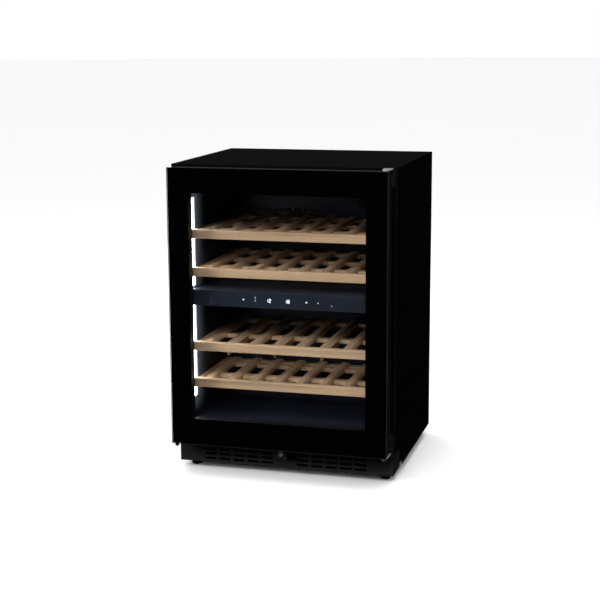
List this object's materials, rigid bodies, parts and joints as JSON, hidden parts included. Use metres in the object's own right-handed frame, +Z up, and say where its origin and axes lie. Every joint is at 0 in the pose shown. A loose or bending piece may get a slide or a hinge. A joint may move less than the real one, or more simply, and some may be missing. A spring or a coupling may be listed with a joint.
{
  "type": "wine cooler",
  "caption": "Under-counter wine cooler with two cooled zones, black-bordered glass door, slatted beech pull-out shelves, side lighting, vented plinth and levelling feet.",
  "frame": {"origin": "on the floor, at the middle of the footprint", "axes": "+X to the right as seen from the front, +Y from the door to the back, +Z up"},
  "size_m": [0.595, 0.565, 0.82],
  "materials": {
    "cabinet_steel": "satin",
    "plinth_steel": "satin",
    "zinc_steel": "satin",
    "hinge_steel": "satin",
    "bright_steel": "polished",
    "aluminium": "satin",
    "copper": "satin",
    "black_plastic": "matte",
    "foot_plastic": "matte",
    "liner_plastic": "satin",
    "foam": "matte",
    "gasket_rubber": "matte",
    "compressor_paint": "gloss",
    "beech": "satin",
    "door_glass": "polished",
    "inner_glass": "polished",
    "panel_glass": "gloss",
    "circuit_board": "matte",
    "led_light": "matte"
  },
  "bodies": {
    "cabinet": {"cabinet_wrap": "cabinet_steel", "front_frame": "black_plastic", "inner_liner": "liner_plastic", "insulation_foam": "foam", "back_panel": "zinc_steel", "base_pan": "zinc_steel", "lower_crossbar": "plinth_steel", "plinth_grille": "plinth_steel", "hinge_top": "hinge_steel", "hinge_bottom": "hinge_steel", "hinge_pin_bottom": "bright_steel", "lock_case": "black_plastic", "zone_divider": "liner_plastic", "control_panel": "panel_glass", "control_board": "circuit_board", "led_strip_lower": "led_light", "led_strip_upper": "led_light", "duct_cover_lower": "liner_plastic", "duct_cover_upper": "liner_plastic", "evaporator_lower": "aluminium", "evaporator_upper": "aluminium", "fan_frame_lower": "black_plastic", "fan_frame_upper": "black_plastic", "compressor": "compressor_paint", "compressor_base": "zinc_steel", "drip_tray": "black_plastic", "condenser": "aluminium", "condenser_fan_frame": "black_plastic", "filter_drier": "copper", "refrigerant_pipe": "copper", "rear_cover": "zinc_steel", "mains_inlet": "black_plastic", "charcoal_filter": "black_plastic"},
    "door": {"door_glass_outer": "door_glass", "door_glass_inner": "inner_glass", "glazing_spacer": "aluminium", "door_frame": "black_plastic", "door_gasket": "gasket_rubber", "hinge_bush_top": "bright_steel", "hinge_bush_bottom": "bright_steel", "door_corner_plug": "black_plastic"},
    "lock_cylinder": {"lock_cylinder": "bright_steel"},
    "lock_bolt": {"lock_bolt": "zinc_steel"},
    "shelf_1": {"shelf_1_rail": "beech", "shelf_1_rack": "beech"},
    "shelf_2": {"shelf_2_rail": "beech", "shelf_2_rack": "beech"},
    "shelf_3": {"shelf_3_rail": "beech", "shelf_3_rack": "beech"},
    "shelf_4": {"shelf_4_rail": "beech", "shelf_4_rack": "beech"},
    "fan_wheel_lower": {"fan_wheel_lower": "black_plastic"},
    "fan_wheel_upper": {"fan_wheel_upper": "black_plastic"},
    "condenser_fan_wheel": {"condenser_fan_wheel": "black_plastic"},
    "foot_front_left": {"foot_front_left": "foot_plastic"},
    "foot_front_right": {"foot_front_right": "foot_plastic"},
    "foot_rear_left": {"foot_rear_left": "foot_plastic"},
    "foot_rear_right": {"foot_rear_right": "foot_plastic"}
  },
  "joints": [
    {"name": "door_hinge", "type": "hinge", "parent": "cabinet", "child": "door", "pos_m": [0.2795, -0.2655, 0.45], "axis": [0, 0, 1], "range_deg": [0, 120]},
    {"name": "shelf_1_slide", "type": "slide", "parent": "cabinet", "child": "shelf_1", "axis": [0, -1, 0], "range_m": [0, 0.065]},
    {"name": "shelf_2_slide", "type": "slide", "parent": "cabinet", "child": "shelf_2", "axis": [0, -1, 0], "range_m": [0, 0.065]},
    {"name": "shelf_3_slide", "type": "slide", "parent": "cabinet", "child": "shelf_3", "axis": [0, -1, 0], "range_m": [0, 0.065]},
    {"name": "shelf_4_slide", "type": "slide", "parent": "cabinet", "child": "shelf_4", "axis": [0, -1, 0], "range_m": [0, 0.065]},
    {"name": "lock_turn", "type": "hinge", "parent": "cabinet", "child": "lock_cylinder", "pos_m": [0, -0.2395, 0.069], "axis": [0, 1, 0], "range_deg": [0, 90]},
    {"name": "lock_bolt_slide", "type": "slide", "parent": "cabinet", "child": "lock_bolt", "axis": [0, 0, 1], "range_m": [0, 0.014]},
    {"name": "fan_spin_lower", "type": "hinge", "parent": "cabinet", "child": "fan_wheel_lower", "pos_m": [0.14, 0.2055, 0.371], "axis": [0, 1, 0], "continuous": true},
    {"name": "fan_spin_upper", "type": "hinge", "parent": "cabinet", "child": "fan_wheel_upper", "pos_m": [0.14, 0.2055, 0.704], "axis": [0, 1, 0], "continuous": true},
    {"name": "condenser_fan_spin", "type": "hinge", "parent": "cabinet", "child": "condenser_fan_wheel", "pos_m": [-0.136, 0.2025, 0.116], "axis": [1, 0, 0], "continuous": true},
    {"name": "foot_front_left_turn", "type": "hinge", "parent": "cabinet", "child": "foot_front_left", "pos_m": [-0.262, -0.1635, 0.02], "axis": [0, 0, 1], "continuous": true},
    {"name": "foot_front_right_turn", "type": "hinge", "parent": "cabinet", "child": "foot_front_right", "pos_m": [0.262, -0.1635, 0.02], "axis": [0, 0, 1], "continuous": true},
    {"name": "foot_rear_left_turn", "type": "hinge", "parent": "cabinet", "child": "foot_rear_left", "pos_m": [-0.262, 0.2175, 0.02], "axis": [0, 0, 1], "continuous": true},
    {"name": "foot_rear_right_turn", "type": "hinge", "parent": "cabinet", "child": "foot_rear_right", "pos_m": [0.262, 0.2175, 0.02], "axis": [0, 0, 1], "continuous": true}
  ],
  "couplings": [
    {"joint": "shelf_1_slide", "follows": "door_hinge", "m_per_rad": 0.031},
    {"joint": "shelf_2_slide", "follows": "door_hinge", "m_per_rad": 0.031},
    {"joint": "shelf_3_slide", "follows": "door_hinge", "m_per_rad": 0.031},
    {"joint": "shelf_4_slide", "follows": "door_hinge", "m_per_rad": 0.031},
    {"joint": "lock_bolt_slide", "follows": "lock_turn", "m_per_rad": 0.0089}
  ]
}
